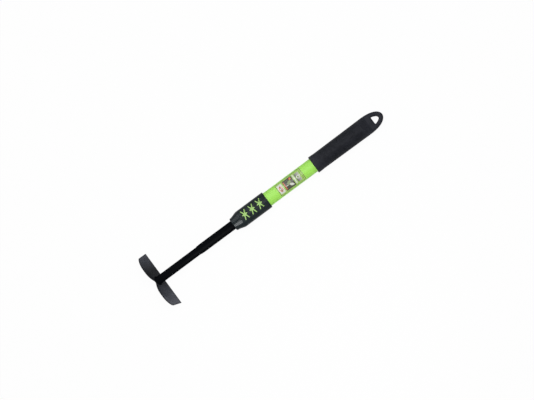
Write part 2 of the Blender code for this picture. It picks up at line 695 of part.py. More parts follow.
def build():
    clear_scene()
    black_paint = finish_material("black_paint", (0.012, 0.013, 0.016), 0.38)
    blade_paint = finish_material("blade_paint", (0.055, 0.058, 0.066), 0.42)
    green_paint = finish_material("green_paint", (0.39, 0.82, 0.14), 0.3)
    green_plastic = finish_material("green_plastic", (0.42, 0.78, 0.2), 0.38)
    black_rubber = finish_material("black_rubber", (0.026, 0.028, 0.032), 0.5)
    grip_rubber = finish_material("grip_rubber", (0.03, 0.031, 0.036), 0.6)
    grey_nylon = finish_material("grey_nylon", (0.2, 0.2, 0.21), 0.5)
    white_nylon = finish_material("white_nylon", (0.7, 0.7, 0.68), 0.5)

    tool = make_empty("tool")
    slide = make_empty("tube_slide", tool)
    swivel = make_empty("tube_swivel", slide)
    twist = make_empty("collar_twist", tool)

    make_blade(blade_paint, swivel)
    make_weld(black_paint, swivel)
    make_neck_tube(black_paint, swivel)
    make_shaft_tube(black_paint, swivel)
    make_guide_bush(white_nylon, slide)
    make_collet(grey_nylon, tool)
    make_barrel(green_paint, tool)
    make_collar_core(green_plastic, twist)
    make_collar_sleeve(black_rubber, twist)
    make_grip(grip_rubber, tool)

    twist.rotation_euler.x = COLLAR_TURN
    lay_down(tool)


build()
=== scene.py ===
"""Looks of the telescopic draw hoe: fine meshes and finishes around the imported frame.

Pieces are drawn in the tool's own axes, in metres: x runs along the shaft from the front of the twist
collar towards the grip, y across the blade, and z up, away from the blade's cutting edge.
"""

import json
import math

import bmesh
import bpy
from mathutils import Matrix, Vector


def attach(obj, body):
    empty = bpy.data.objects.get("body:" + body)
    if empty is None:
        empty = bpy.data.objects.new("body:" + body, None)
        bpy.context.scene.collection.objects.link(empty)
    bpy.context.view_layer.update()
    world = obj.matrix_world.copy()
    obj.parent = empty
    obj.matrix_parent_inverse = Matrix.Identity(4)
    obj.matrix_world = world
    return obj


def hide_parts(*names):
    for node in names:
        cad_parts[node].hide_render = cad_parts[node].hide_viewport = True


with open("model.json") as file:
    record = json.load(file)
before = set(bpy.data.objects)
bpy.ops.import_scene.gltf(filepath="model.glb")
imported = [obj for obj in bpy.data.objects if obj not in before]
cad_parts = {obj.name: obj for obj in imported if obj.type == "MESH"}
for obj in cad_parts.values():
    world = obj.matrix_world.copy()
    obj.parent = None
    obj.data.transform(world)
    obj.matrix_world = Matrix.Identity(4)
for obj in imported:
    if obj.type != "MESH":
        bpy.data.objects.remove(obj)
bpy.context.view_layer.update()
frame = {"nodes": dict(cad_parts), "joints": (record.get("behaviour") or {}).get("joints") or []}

# The tool's x, y and z in the frame, from the joints
JOINTS = {joint["name"]: joint for joint in frame["joints"]}
ALONG = -Vector(JOINTS["tube_slide"]["axis"]).normalized()
ACROSS = Vector((0.0, 1.0, 0.0))
UP = ALONG.cross(ACROSS)
START = Vector(JOINTS["collar_twist"]["pos_m"])
TO_FRAME = Matrix.Translation(START) @ Matrix((ALONG, ACROSS, UP)).transposed().to_4x4()
TO_TOOL = TO_FRAME.inverted()

# The tool's x in its own axes, where its y is ACROSS too
LENGTHWISE = Vector((1.0, 0.0, 0.0))


def measured(node):
    """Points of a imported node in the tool's axes."""
    return [TO_TOOL @ vertex.co for vertex in frame["nodes"][node].data.vertices]


def reach(node):
    """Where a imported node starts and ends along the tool."""
    places = [point.x for point in measured(node)]
    return min(places), max(places)


def radius_of(node):
    """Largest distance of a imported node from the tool's axis."""
    return max(math.hypot(point.y, point.z) for point in measured(node))


def bore_of(node):
    """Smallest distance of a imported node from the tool's axis."""
    return min(math.hypot(point.y, point.z) for point in measured(node))


# Sizes read from the frame
COLLAR_FRONT, COLLAR_REAR = reach("collar_sleeve")
COLLAR_RADIUS = radius_of("collar_sleeve")
COLLAR_BORE = bore_of("collar_sleeve")
CORE_FRONT, CORE_REAR = reach("collar_core")
BARREL_FRONT, BARREL_REAR = reach("barrel_tube")
BARREL_RADIUS = radius_of("barrel_tube")
BARREL_BORE = bore_of("barrel_tube")
GRIP_FRONT, GRIP_END = reach("grip")
SHAFT_FRONT, SHAFT_REAR = reach("shaft_tube")
SHAFT_RADIUS = radius_of("shaft_tube")
SHAFT_BORE = bore_of("shaft_tube")
NECK_REAR = reach("neck_tube")[1]
NECK_RADIUS = radius_of("neck_tube")
NECK_BORE = bore_of("neck_tube")

# Gap between pieces of one body
SEAT_GAP = 0.0003

# Blade and weld
BLADE_ANGLE = math.radians(65)
BLADE_GRIND_LENGTH = 0.0075
BLADE_GRIND_BLUR = 0.0002
# Painted shade of the tube round the weld: near black about a middle set off to one side, fading to grey
# further out
BLADE_SHADE_MIDDLE = 0.0105
BLADE_SHADE_REACH = 0.012
BLADE_SHADE_END = 0.052
# Painted glints that make the blade's wing tips lighter
BLADE_TIP_GLINT_START = 0.060
BLADE_TIP_GLINT_REACH = 0.071
BLADE_GROUND_ANGLE = math.radians(10.6)
BLADE_GROUND_TOLERANCE = math.radians(1.5)
BLADE_CUT_ANGLE = math.radians(40)
BLADE_EDGE_ROUND = 0.0004
BLADE_EDGE_STEPS = 3
BLADE_FACE_SHARE = 0.8
WELD_LEG = 0.0028
WELD_END_LEG = 0.0014
WELD_SINK = 0.0002
WELD_BULGE = 0.3
WELD_OPEN_ANGLE = math.radians(36)
WELD_RIPPLES = 17
WELD_RIPPLE_DEPTH = 0.14

# Tubes
TUBE_EDGE_ROUND = 0.00025
SHAFT_LIP_LENGTH = 0.009
SHAFT_LIP_WALL = 0.00045

# Twist collar
COLLAR_TURN = math.radians(-5)
COLLAR_LIP = 0.0016
COLLAR_SLEEVE_WALL = 0.0014
COLLAR_NOSE_WALL = 0.00425
COLLAR_NOSE_DROP = 0.0018
COLLAR_NOSE_CHAMFER = 0.0014
COLLAR_NOSE_RISE = 0.0008
COLLAR_NOSE_LENGTH = 0.0075
COLLAR_NOSE_END = COLLAR_FRONT + COLLAR_NOSE_LENGTH
COLLAR_CONE_LENGTH = 0.0115
COLLAR_CONE_END = COLLAR_NOSE_END + COLLAR_CONE_LENGTH
COLLAR_CONE_ROUND = 0.003
COLLAR_CONE_SAG = 0.0005
COLLAR_BODY_START = COLLAR_CONE_END + COLLAR_CONE_ROUND
COLLAR_EDGE_ROUND = 0.0009
CORE_WALL = 0.0010

# Stars
STAR_PITCH = 0.0201
STAR_ROW_CENTRE = 0.0554
STARS_IN_ROW = 3
STAR_ROWS = 2
STAR_LONG_ARM = 0.0134
STAR_SHORT_ARM = 0.0067
STAR_LONG_ARM_ANGLE = math.radians(67.6)
STAR_TIP_HALF_WIDTH = 0.0011
STAR_END_VALLEY_RADIUS = 0.0034
STAR_SIDE_VALLEY_RADIUS = 0.0030
STAR_CORNER = 0.0007
STAR_RECESS = 0.0001
STAR_EDGE_ROUND = 0.0003
STAR_EDGE_BREAK = 0.00009
STAR_CROWN = 0.00005
STAR_WINDOW_GAP = 0.0002
STAR_WINDOW_FLARE = 0.00048

# Grip
GRIP_MOUTH_WALL = 0.0034
GRIP_MOUTH_RADIUS = BARREL_RADIUS + GRIP_MOUTH_WALL
GRIP_SWELL = 0.00095
GRIP_SWELL_RADIUS = GRIP_MOUTH_RADIUS + GRIP_SWELL
GRIP_RIM_LENGTH = 0.0165
GRIP_RIM_RISE = 0.0005
GRIP_MOUTH_ROUND = 0.0012
GRIP_TAIL_LENGTH = 0.0566
GRIP_TAIL_START = GRIP_END - GRIP_TAIL_LENGTH
GRIP_TAIL_FULLNESS = 2.86
GRIP_TAIL_THICKNESS = 0.018
GRIP_TAIL_EDGE_RADIUS = 0.0055
GRIP_FLATTEN_LENGTH = 0.019
# Painted highlight on the grip: paler towards both ends, about a middle shifted towards the barrel
GRIP_HIGHLIGHT_SHIFT = 0.017
GRIP_HIGHLIGHT_START = 0.050
GRIP_HIGHLIGHT_END = 0.068
GRIP_CUT_OVERSHOOT = 0.003
HANG_HOLE_WIDTH = 0.0182
HANG_HOLE_LENGTH = 0.0147
HANG_HOLE_TIP_WALL = 0.0111
HANG_HOLE_CORNER = 0.0018
HANG_HOLE_EDGE_ROUND = 0.004
HANG_HOLE_TAPER = 1.15
HANG_HOLE_FULLNESS = 0.48

# Label, a printed film on the barrel
LABEL_MIDDLE = (COLLAR_REAR + GRIP_FRONT) / 2
LABEL_LENGTH = 0.069
LABEL_WIDTH = 0.0355
LABEL_CORNER = 0.003
LABEL_TURN = math.radians(5.5)
LABEL_LIFT = 0.00008
LABEL_FILM = 0.00008
LABEL_INK = 0.00003
LABEL_INK_SINK = 0.3
LABEL_MARGIN = 0.0015
LABEL_LINE = 0.0010
LABEL_LINE_CORNER = 0.0002
LABEL_FADE_START = LABEL_MIDDLE + 0.0148
LABEL_FADE_END = LABEL_MIDDLE + 0.0268
LEAF_FULLNESS = 0.26

# Fineness
SHARP_ANGLE = math.radians(32)
FLAT_ANGLE = math.radians(0.5)
SAME_PLACE = 1e-6
TUBE_SIDES = 128
CORNER_STEPS = 4
CORNER_SIDE_SHARE = 0.45
ROUND_STEPS = 7
SHAFT_LIP_STEPS = 10
STAR_RINGS = 6
GRIP_CORNER_POINTS = 24
GRIP_BODY_STATIONS = 24
GRIP_BODY_CROWDING = 1.6
GRIP_TAIL_STATIONS = 72
GRIP_TIP_STATIONS = 3
HOLE_STATIONS = 26
WELD_STATIONS = 238
WELD_POINTS = 9
BEND_STEP = 0.0014
BEND_TOLERANCE = 1e-7
LABEL_CORNER_STEPS = 6
DISC_SIDES = 48
LEAF_STEPS = 10

# Where most of a noise lies
NOISE_LOW = 0.3
NOISE_HIGH = 0.7

# Stage and light
WHITE = (1.0, 1.0, 1.0, 1.0)
FLOOR_COLOUR = (0.86, 0.86, 0.86, 1.0)
FLOOR_SIZE = 200.0
FLOOR_WHITE_SHARE = 0.96
WORLD_STRENGTH = 0.28
KEY_PLACE = Vector((0.1, 0.12, 2.2))
KEY_SIZE = 1.4
KEY_POWER = 35.0
SIDE_PLACE = Vector((0.0, -0.5, 0.4))
SIDE_SIZE = 0.3
SIDE_POWER = 0.4
GLINT_DISTANCE = 0.2
GLINT_AHEAD = math.radians(28)
GLINT_BESIDE = math.radians(31)
GLINT_SIZE = 0.14
GLINT_POWER = 2.1
SHEEN_DISTANCE = 1.2
SHEEN_AHEAD = math.radians(20)
SHEEN_BESIDE = math.radians(58)
SHEEN_SIZE = 1.0
SHEEN_POWER = 21.0

# Camera, matched to the photograph
PICTURE_WIDTH_PX = 534
PICTURE_CENTRE_PX = Vector((267, 200))
COLLAR_FRONT_PX = Vector((233.08, 224.96))
METRES_PER_PX = 0.0022254
TOOL_SLANT = math.radians(36.664)
TOOL_ROLL = math.radians(5.47)
CAMERA_DISTANCE = 5.0
CAMERA_SENSOR_WIDTH = 36.0
CAMERA_CLIP_END = 400.0

# Blade directions in the tool's axes, up its inner face and out of it, and where the axis meets that face
BLADE_UP = Vector((-math.cos(BLADE_ANGLE), 0.0, math.sin(BLADE_ANGLE)))
BLADE_OUT = Vector((math.sin(BLADE_ANGLE), 0.0, math.cos(BLADE_ANGLE)))
BLADE_X = max(point.dot(BLADE_OUT) for point in measured("blade")) / BLADE_OUT.x
BLADE_START = Vector((BLADE_X, 0.0, 0.0))
BLADE_CUT_EDGE = min((point - BLADE_START).dot(BLADE_UP) for point in measured("blade"))


def mix(first, second, share):
    """The value at a share of the way from the first to the second."""
    return first + (second - first) * share


def smooth_step(share):
    """A share held between 0 and 1 and eased at both ends."""
    share = min(max(share, 0.0), 1.0)
    return share * share * (3 - 2 * share)


def softened(outline, radius, steps=CORNER_STEPS):
    """Rounds the corners of a closed outline of 2-D points."""
    rounded = []
    for i, corner in enumerate(outline):
        here = Vector(corner)
        back = Vector(outline[i - 1]) - here
        ahead = Vector(outline[(i + 1) % len(outline)]) - here
        start = here + back.normalized() * min(radius, back.length * CORNER_SIDE_SHARE)
        end = here + ahead.normalized() * min(radius, ahead.length * CORNER_SIDE_SHARE)
        for step in range(steps + 1):
            share = step / steps
            rounded.append(start * (1 - share) ** 2 + here * 2 * share * (1 - share) + end * share**2)
    return rounded


def quarter_round(radius, steps):
    """How far a rounded corner's points lie from its two sides, from (radius, 0) to (0, radius)."""
    turns = [math.pi / 2 * step / steps for step in range(steps + 1)]
    return [(radius * (1 - math.sin(turn)), radius * (1 - math.cos(turn))) for turn in turns]


def directions():
    """The y and z of even directions round the tool's axis."""
    turns = [math.tau * side / TUBE_SIDES for side in range(TUBE_SIDES)]
    return [(math.sin(turn), math.cos(turn)) for turn in turns]


def on_cylinder(x, radius, angle):
    """A point round the tool's axis, at an angle from its top."""
    return Vector((x, -radius * math.sin(angle), radius * math.cos(angle)))


def bridge(bm, first, second):
    """Adds a band of quads between two closed loops of vertices."""
    for i in range(len(first)):
        j = (i + 1) % len(first)
        bm.faces.new((first[i], first[j], second[j], second[i]))


def turned(profile_at):
    """Skin turned about the tool's axis, with a closed (x, radius) profile for each direction's z."""
    bm = bmesh.new()
    rings = []
    for y, z in directions():
        rings.append([bm.verts.new((x, radius * y, radius * z)) for x, radius in profile_at(z)])
    for first, second in zip(rings, rings[1:] + rings[:1]):
        bridge(bm, first, second)
    return bm


def revolved(profile):
    """Skin turned about the tool's axis from one closed profile of (x, radius) points."""
    return turned(lambda z: profile)


def lofted(rings):
    """Skin over rings of points, with a cap on each end."""
    bm = bmesh.new()
    loops = [[bm.verts.new(point) for point in ring] for ring in rings]
    for first, second in zip(loops, loops[1:]):
        bridge(bm, first, second)
    bm.faces.new(loops[0])
    bm.faces.new(reversed(loops[-1]))
    return bm


def as_mesh(bm, name):
    """Turns a bmesh into a smooth mesh whose edges are sharp where its faces turn by a large angle."""
    bmesh.ops.recalc_face_normals(bm, faces=bm.faces)
    mesh = bpy.data.meshes.new(name)
    bm.to_mesh(mesh)
    bm.free()
    mesh.shade_smooth()
    mesh.set_sharp_from_angle(angle=SHARP_ANGLE)
    return mesh


def placed(name, data):
    """A new object in the scene that holds this data."""
    obj = bpy.data.objects.new(name, data)
    bpy.context.scene.collection.objects.link(obj)
    return obj


def combined(base, operation, tool):
    """The bmesh that is left when a tool's bmesh is cut from or joined to another one."""
    pair = [placed(name, as_mesh(bm, name)) for name, bm in (("base", base), ("tool", tool))]
    modifier = pair[0].modifiers.new("cut", "BOOLEAN")
    modifier.operation = operation
    modifier.object = pair[1]
    modifier.solver = "EXACT"
    shaped = pair[0].evaluated_get(bpy.context.evaluated_depsgraph_get())
    result = bmesh.new()
    result.from_mesh(shaped.to_mesh())
    for obj in pair:
        bpy.data.objects.remove(obj, do_unlink=True)
    return result


def make_piece(name, bm, materials, body, node=None):
    """Makes a piece drawn in the tool's axes ride on a body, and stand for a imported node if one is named."""
    mesh = as_mesh(bm, name)
    for material in materials:
        mesh.materials.append(material)
    mesh.transform(TO_FRAME)
    piece = placed(name, mesh)
    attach(piece, body)
    if node:
        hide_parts(node)
    return piece


def add_node(tree, kind, inputs=None, **settings):
    """Adds a shader node with its settings, and its inputs as plain values or as links."""
    node = tree.nodes.new("ShaderNode" + kind)
    for name, value in settings.items():
        setattr(node, name, value)
    for name, value in (inputs or {}).items():
        if isinstance(value, bpy.types.NodeSocket):
            tree.links.new(value, node.inputs[name])
        else:
            node.inputs[name].default_value = value
    return node


class Finish:
    """A procedural material whose nodes are added in short steps."""

    def __init__(self, name, **sockets):
        self.material = bpy.data.materials.new(name)
        self.material.use_nodes = True
        self.tree = self.material.node_tree
        self.shader = self.tree.nodes["Principled BSDF"]
        for socket, value in sockets.items():
            self.shader.inputs[socket.replace("_", " ")].default_value = value
        self.place = self.add("TexCoord").outputs["Object"]
        self.normal = None

    def add(self, kind, inputs=None, **settings):
        return add_node(self.tree, kind, inputs, **settings)

    def noise(self, scale, detail=2.0, stretch=(1.0, 1.0, 1.0), roughness=0.5):
        """Noise from 0 to 1, about `scale` grains to a metre, squeezed along each axis by its stretch."""
        mapping = self.add("Mapping", {"Vector": self.place, "Scale": stretch})
        sockets = {"Vector": mapping.outputs[0], "Scale": scale, "Detail": detail, "Roughness": roughness}
        return self.add("TexNoise", sockets).outputs["Fac"]

    def spread(self, value, low, high, new_low, new_high):
        """The value carried from one range to another, held inside the new one."""
        sockets = {"Value": value, "From Min": low, "From Max": high, "To Min": new_low, "To Max": new_high}
        return self.add("MapRange", sockets).outputs["Result"]

    def varied(self, noise, new_low, new_high):
        """A noise carried from where most of it lies to a new range."""
        return self.spread(noise, NOISE_LOW, NOISE_HIGH, new_low, new_high)

    def maths(self, operation, first, second=0.0):
        return self.add("Math", {0: first, 1: second}, operation=operation).outputs[0]

    def distance(self, direction, origin=Vector()):
        """Distance of the shaded point from an origin along a direction, both in the tool's axes."""
        way = TO_FRAME.to_3x3() @ direction
        dot = self.add("VectorMath", {0: self.place, 1: way}, operation="DOT_PRODUCT")
        return self.maths("SUBTRACT", dot.outputs["Value"], (TO_FRAME @ origin).dot(way))

    def paint(self, factor, *stops):
        """Colours the surface by a factor, through (place, colour) stops."""
        ramp = self.add("ValToRGB", {"Fac": factor})
        elements = ramp.color_ramp.elements
        while len(elements) < len(stops):
            elements.new(0.5)
        for element, (place, colour) in zip(elements, stops):
            element.position = place
            element.color = (*colour, 1.0)
        self.tree.links.new(ramp.outputs["Color"], self.shader.inputs["Base Color"])

    def rough(self, noise, low, high):
        """Roughness that goes with a noise from low to high."""
        self.tree.links.new(self.varied(noise, low, high), self.shader.inputs["Roughness"])

    def bump(self, height, depth):
        """Adds relief of a real depth, over any added before."""
        node = self.add("Bump", {"Height": height, "Distance": depth})
        if self.normal:
            self.tree.links.new(self.normal, node.inputs["Normal"])
        self.normal = node.outputs["Normal"]
        self.tree.links.new(self.normal, self.shader.inputs["Normal"])


def powder_coat():
    """Near-black powder coat with a fine orange peel."""
    finish = Finish("powder_coat", Specular_IOR_Level=0.006)
    grain = finish.noise(50, 8, roughness=0.8)
    finish.paint(grain, (0.35, (0.0008, 0.0010, 0.0018)), (0.65, (0.0026, 0.0030, 0.0042)))
    finish.rough(finish.noise(60), 0.5, 0.6)
    finish.bump(finish.noise(650), 0.00006)
    finish.bump(finish.noise(2600), 0.00002)
    return finish.material


def blade_paint():
    """Satin grey-black paint, near black along the ground strip, a little streaked, with painted shade near
    black round the weld and painted glints on the wing tips.
    """
    finish = Finish("blade_paint", Specular_IOR_Level=0.045)
    # Painted shade: near black round the weld where the tube shades the blade, its middle set off to one side,
    # fading to grey further out
    across = finish.maths("ABSOLUTE", finish.distance(ACROSS, ACROSS * BLADE_SHADE_MIDDLE))
    away = finish.spread(across, BLADE_SHADE_REACH, BLADE_SHADE_END, 0.0, 0.62)
    # Painted glint: the wing tips lighter
    tip_glint = finish.spread(across, BLADE_TIP_GLINT_START, BLADE_TIP_GLINT_REACH, 0.0, 0.3)
    line = BLADE_CUT_EDGE + BLADE_GRIND_LENGTH
    height = finish.distance(BLADE_UP, BLADE_START)
    face = finish.spread(height, line - BLADE_GRIND_BLUR, line, -0.3, 0.0)
    clouds = finish.varied(finish.noise(46, 4, (1, 1, 1), 0.6), 0.0, 0.22)
    streaks = finish.noise(420, 3, (1, 0.08, 1), 0.6)
    marks = finish.varied(streaks, 0.0, 0.16)
    tone = away
    for layer in (tip_glint, face, clouds, marks):
        tone = finish.maths("ADD", tone, layer)
    finish.paint(
        tone,
        (0.1, (0.0006, 0.0007, 0.0012)),
        (0.45, (0.0255, 0.0275, 0.0345)),
        (0.7, (0.038, 0.0415, 0.052)),
        (1.0, (0.081, 0.084, 0.100)),
    )
    finish.rough(streaks, 0.42, 0.6)
    finish.bump(streaks, 0.00003)
    finish.bump(finish.noise(1400, 3), 0.00003)
    return finish.material


def green_paint():
    """Bright green gloss paint on the barrel."""
    finish = Finish("green_paint", Specular_IOR_Level=0.22)
    finish.paint(finish.noise(18), (0.3, (0.345, 0.745, 0.095)), (0.7, (0.37, 0.785, 0.11)))
    finish.rough(finish.noise(90), 0.36, 0.44)
    finish.bump(finish.noise(420), 0.00003)
    return finish.material


def green_plastic():
    """Moulded green plastic of the collar's core and stars."""
    finish = Finish("green_plastic", Specular_IOR_Level=0.2)
    finish.paint(finish.noise(240, 3), (0.3, (0.315, 0.54, 0.134)), (0.7, (0.362, 0.597, 0.174)))
    finish.rough(finish.noise(300), 0.4, 0.5)
    finish.bump(finish.noise(2200), 0.00002)
    return finish.material


def sleeve_rubber():
    """Satin black elastomer of the collar's sleeve."""
    finish = Finish("sleeve_rubber", Specular_IOR_Level=0.05)
    grain = finish.noise(70, 8, roughness=0.75)
    finish.paint(grain, (0.35, (0.009, 0.0135, 0.0155)), (0.65, (0.019, 0.0265, 0.0295)))
    finish.rough(finish.noise(160, 3), 0.2, 0.27)
    finish.bump(finish.noise(1500, 3), 0.00002)
    return finish.material


def grip_rubber():
    """Matt black elastomer of the grip, with a fine moulded grain, and a painted highlight that makes it a
    little paler towards both ends, over a longer stretch at the tail.
    """
    finish = Finish("grip_rubber", Specular_IOR_Level=0.05)
    # Painted highlight: paler towards both ends, over a longer stretch at the tail
    middle = LENGTHWISE * ((GRIP_FRONT + GRIP_END) / 2 - GRIP_HIGHLIGHT_SHIFT)
    away = finish.maths("ABSOLUTE", finish.distance(LENGTHWISE, middle))
    painted_highlight = finish.spread(away, GRIP_HIGHLIGHT_START, GRIP_HIGHLIGHT_END, 0.0, 0.2)
    tone = finish.maths("ADD", finish.noise(110, 7, roughness=0.82), painted_highlight)
    finish.paint(
        tone,
        (0.36, (0.0074, 0.0083, 0.0109)),
        (0.64, (0.0183, 0.0196, 0.0252)),
        (1.0, (0.034, 0.036, 0.045)),
    )
    finish.rough(finish.noise(120, 3), 0.46, 0.56)
    finish.bump(finish.noise(1500, 3, roughness=0.6), 0.00016)
    return finish.material


def nylon(name, dark, light):
    """Moulded nylon with faint flow marks."""
    finish = Finish(name, Specular_IOR_Level=0.4, Subsurface_Weight=0.1, Subsurface_Scale=0.001)
    finish.paint(finish.noise(160, 3, (0.3, 1, 1)), (0.3, dark), (0.7, light))
    finish.rough(finish.noise(220), 0.42, 0.55)
    finish.bump(finish.noise(1800), 0.00002)
    return finish.material


def unpainted_film(name):
    """The label's glossy film, ready for an ink, and the ink's faint screen grain."""
    finish = Finish(name, Specular_IOR_Level=0.3, Coat_Weight=0.15, Coat_Roughness=0.2)
    finish.rough(finish.noise(400), 0.3, 0.4)
    return finish, finish.noise(900)


def ink(name, dark, light):
    """Printed ink on the label's film."""
    finish, grain = unpainted_film(name)
    finish.paint(grain, (0.35, dark), (0.65, light))
    return finish.material


def fading_ink(name, dark, light):
    """Printed ink that fades from dark to light along the tool."""
    finish, grain = unpainted_film(name)
    fade = finish.spread(finish.distance(LENGTHWISE), LABEL_FADE_START, LABEL_FADE_END, 0.0, 1.0)
    finish.paint(finish.maths("ADD", fade, finish.varied(grain, -0.06, 0.06)), (0.0, dark), (1.0, light))
    return finish.material


def copied(node):
    """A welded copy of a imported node's skin in the tool's axes, with its flat facets joined."""
    bm = bmesh.new()
    bm.from_mesh(frame["nodes"][node].data)
    bmesh.ops.transform(bm, matrix=TO_TOOL, verts=bm.verts)
    bmesh.ops.remove_doubles(bm, verts=bm.verts, dist=SAME_PLACE)
    bmesh.ops.dissolve_limit(bm, angle_limit=FLAT_ANGLE, verts=bm.verts, edges=bm.edges)
    return bm


def keep_ground_line_crisp(mesh):
    """Marks as sharp the edges along which the ground strip meets the blade's face."""
    bm = bmesh.new()
    bm.from_mesh(mesh)
    for edge in [edge for edge in bm.edges if len(edge.link_faces) == 2]:
        if abs(edge.calc_face_angle() - BLADE_GROUND_ANGLE) < BLADE_GROUND_TOLERANCE:
            edge.smooth = False
    bm.to_mesh(mesh)
    bm.free()


def make_blade(face_material, edge_material):
    """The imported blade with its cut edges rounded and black, and its ground line kept crisp."""
    bm = copied("blade")
    cut_edges = [e for e in bm.edges if len(e.link_faces) == 2 and e.calc_face_angle() > BLADE_CUT_ANGLE]
    bmesh.ops.bevel(
        bm,
        geom=cut_edges,
        offset=BLADE_EDGE_ROUND,
        segments=BLADE_EDGE_STEPS,
        profile=0.5,
        affect="EDGES",
        clamp_overlap=True,
    )
    bmesh.ops.dissolve_degenerate(bm, dist=SAME_PLACE, edges=bm.edges)
    for face in bm.faces:
        face.normal_update()
        face.material_index = int(abs(face.normal.dot(BLADE_OUT)) < BLADE_FACE_SHARE)
    piece = make_piece("blade_sheet", bm, [face_material, edge_material], "shaft", "blade")
    keep_ground_line_crisp(piece.data)


def make_weld(material):
    """A rippled fillet round the oblique end of the neck tube."""
    rings = []
    for station in range(WELD_STATIONS + 1):
        share = station / WELD_STATIONS
        turn = mix(WELD_OPEN_ANGLE, math.tau - WELD_OPEN_ANGLE, share)
        ripple = 1 - WELD_RIPPLE_DEPTH * (WELD_RIPPLES * share % 1.0) ** 2
        leg = ripple * mix(WELD_END_LEG, WELD_LEG, math.sqrt(math.sin(math.pi * share)))
        outward = BLADE_UP * math.cos(turn) / math.sin(BLADE_ANGLE) + ACROSS * math.sin(turn)
        corner = BLADE_START + outward * (NECK_RADIUS - WELD_SINK) - BLADE_OUT * WELD_SINK
        on_tube = corner + LENGTHWISE * leg
        on_blade = corner + outward.normalized() * leg
        ring = [corner]
        for point in range(WELD_POINTS):
            way = point / (WELD_POINTS - 1)
            face = on_tube.lerp(on_blade, way)
            ring.append(face + (face - corner) * WELD_BULGE * math.sin(math.pi * way))
        rings.append(ring)
    make_piece("weld_seam", lofted(rings), [material], "shaft", "weld_bead")


def neck_profile(z):
    """The neck tube's wall in the direction with this z: cut to the blade's slope, its far edge rounded."""
    seat = BLADE_X + SEAT_GAP / math.sin(BLADE_ANGLE)
    slope = z / math.tan(BLADE_ANGLE)
    return [
        (seat - NECK_RADIUS * slope, NECK_RADIUS),
        (NECK_REAR - TUBE_EDGE_ROUND, NECK_RADIUS),
        (NECK_REAR, NECK_RADIUS - TUBE_EDGE_ROUND),
        (NECK_REAR, NECK_BORE),
        (seat - NECK_BORE * slope, NECK_BORE),
    ]


def make_neck(material):
    """The thin tube that the blade is welded to."""
    make_piece("neck_pipe", turned(neck_profile), [material], "shaft", "neck_tube")


def make_shaft(material):
    """The sliding tube, its lip rolled down to the neck tube."""
    lip = SHAFT_BORE + SHAFT_LIP_WALL
    profile = []
    for step in range(SHAFT_LIP_STEPS + 1):
        share = step / SHAFT_LIP_STEPS
        x = SHAFT_FRONT + TUBE_EDGE_ROUND + SHAFT_LIP_LENGTH * share
        profile.append((x, mix(lip, SHAFT_RADIUS, smooth_step(share))))
    profile += [(SHAFT_REAR, SHAFT_RADIUS), (SHAFT_REAR, SHAFT_BORE)]
    profile += [(SHAFT_FRONT, SHAFT_BORE), (SHAFT_FRONT, lip - TUBE_EDGE_ROUND)]
    make_piece("shaft_pipe", revolved(profile), [material], "shaft", "shaft_tube")


def make_barrel(material):
    """The green outer tube, its ends a little rounded."""
    profile = [
        (BARREL_FRONT, BARREL_BORE),
        (BARREL_FRONT, BARREL_RADIUS),
        (BARREL_REAR, BARREL_RADIUS),
        (BARREL_REAR, BARREL_BORE),
    ]
    bm = revolved(softened(profile, TUBE_EDGE_ROUND))
    make_piece("barrel_pipe", bm, [material], "handle", "barrel_tube")


def star_outline(clearance):
    """A six-armed star as (along, round) points: two short arms on the axis and four long slanting ones."""
    half = [
        (0.0, STAR_SHORT_ARM, STAR_END_VALLEY_RADIUS),
        (STAR_LONG_ARM_ANGLE, STAR_LONG_ARM, STAR_SIDE_VALLEY_RADIUS),
        (math.pi - STAR_LONG_ARM_ANGLE, STAR_LONG_ARM, STAR_END_VALLEY_RADIUS),
    ]
    arms = half + [(math.pi + angle, length, depth) for angle, length, depth in half]
    following = [angle for angle, *_ in arms[1:]] + [math.tau]
    points = []
    for (angle, length, depth), next_angle in zip(arms, following):
        along = Vector((math.cos(angle), math.sin(angle)))
        beside = Vector((-along.y, along.x)) * (STAR_TIP_HALF_WIDTH + clearance)
        tip = along * (length + clearance)
        between = (angle + next_angle) / 2
        valley = Vector((math.cos(between), math.sin(between))) * (depth + clearance)
        points += [tip - beside, tip + beside, valley]
    return softened(points, STAR_CORNER)


def star_ring(bm, x, turn, radius, clearance, share=1.0):
    """The star's outline as vertices bent round the collar, at a share of its size."""
    ring = []
    for point in star_outline(clearance):
        angle = turn + point.y * share / COLLAR_RADIUS
        ring.append(bm.verts.new(on_cylinder(x + point.x * share, radius, angle)))
    return ring


def add_star(bm, x, turn, levels):
    """Adds one star through (radius, clearance) levels from foot to top, with a crowned cap on each end."""
    walls = [star_ring(bm, x, turn, radius, clearance) for radius, clearance in levels]
    for first, second in zip(walls, walls[1:]):
        bridge(bm, first, second)
    for outer, (radius, clearance) in ((walls[0], levels[0]), (walls[-1], levels[-1])):
        for ring in range(STAR_RINGS - 1, 0, -1):
            share = ring / STAR_RINGS
            inner = star_ring(bm, x, turn, radius + STAR_CROWN * (1 - share), clearance, share)
            bridge(bm, outer, inner)
            outer = inner
        middle = bm.verts.new(on_cylinder(x, radius + STAR_CROWN, turn))
        for i in range(len(outer)):
            bm.faces.new((outer[i], outer[(i + 1) % len(outer)], middle))


def stars(levels):
    """Every star of the collar, in rows on its top and its underside.

    Their walls are twisted, so they are split into triangles: then each point of a cut lies on an edge.
    """
    bm = bmesh.new()
    first = COLLAR_FRONT + STAR_ROW_CENTRE - STAR_PITCH * (STARS_IN_ROW - 1) / 2
    for row in range(STAR_ROWS):
        for star in range(STARS_IN_ROW):
            add_star(bm, first + star * STAR_PITCH, COLLAR_TURN + math.tau * row / STAR_ROWS, levels)
    bmesh.ops.triangulate(bm, faces=bm.faces)
    return bm


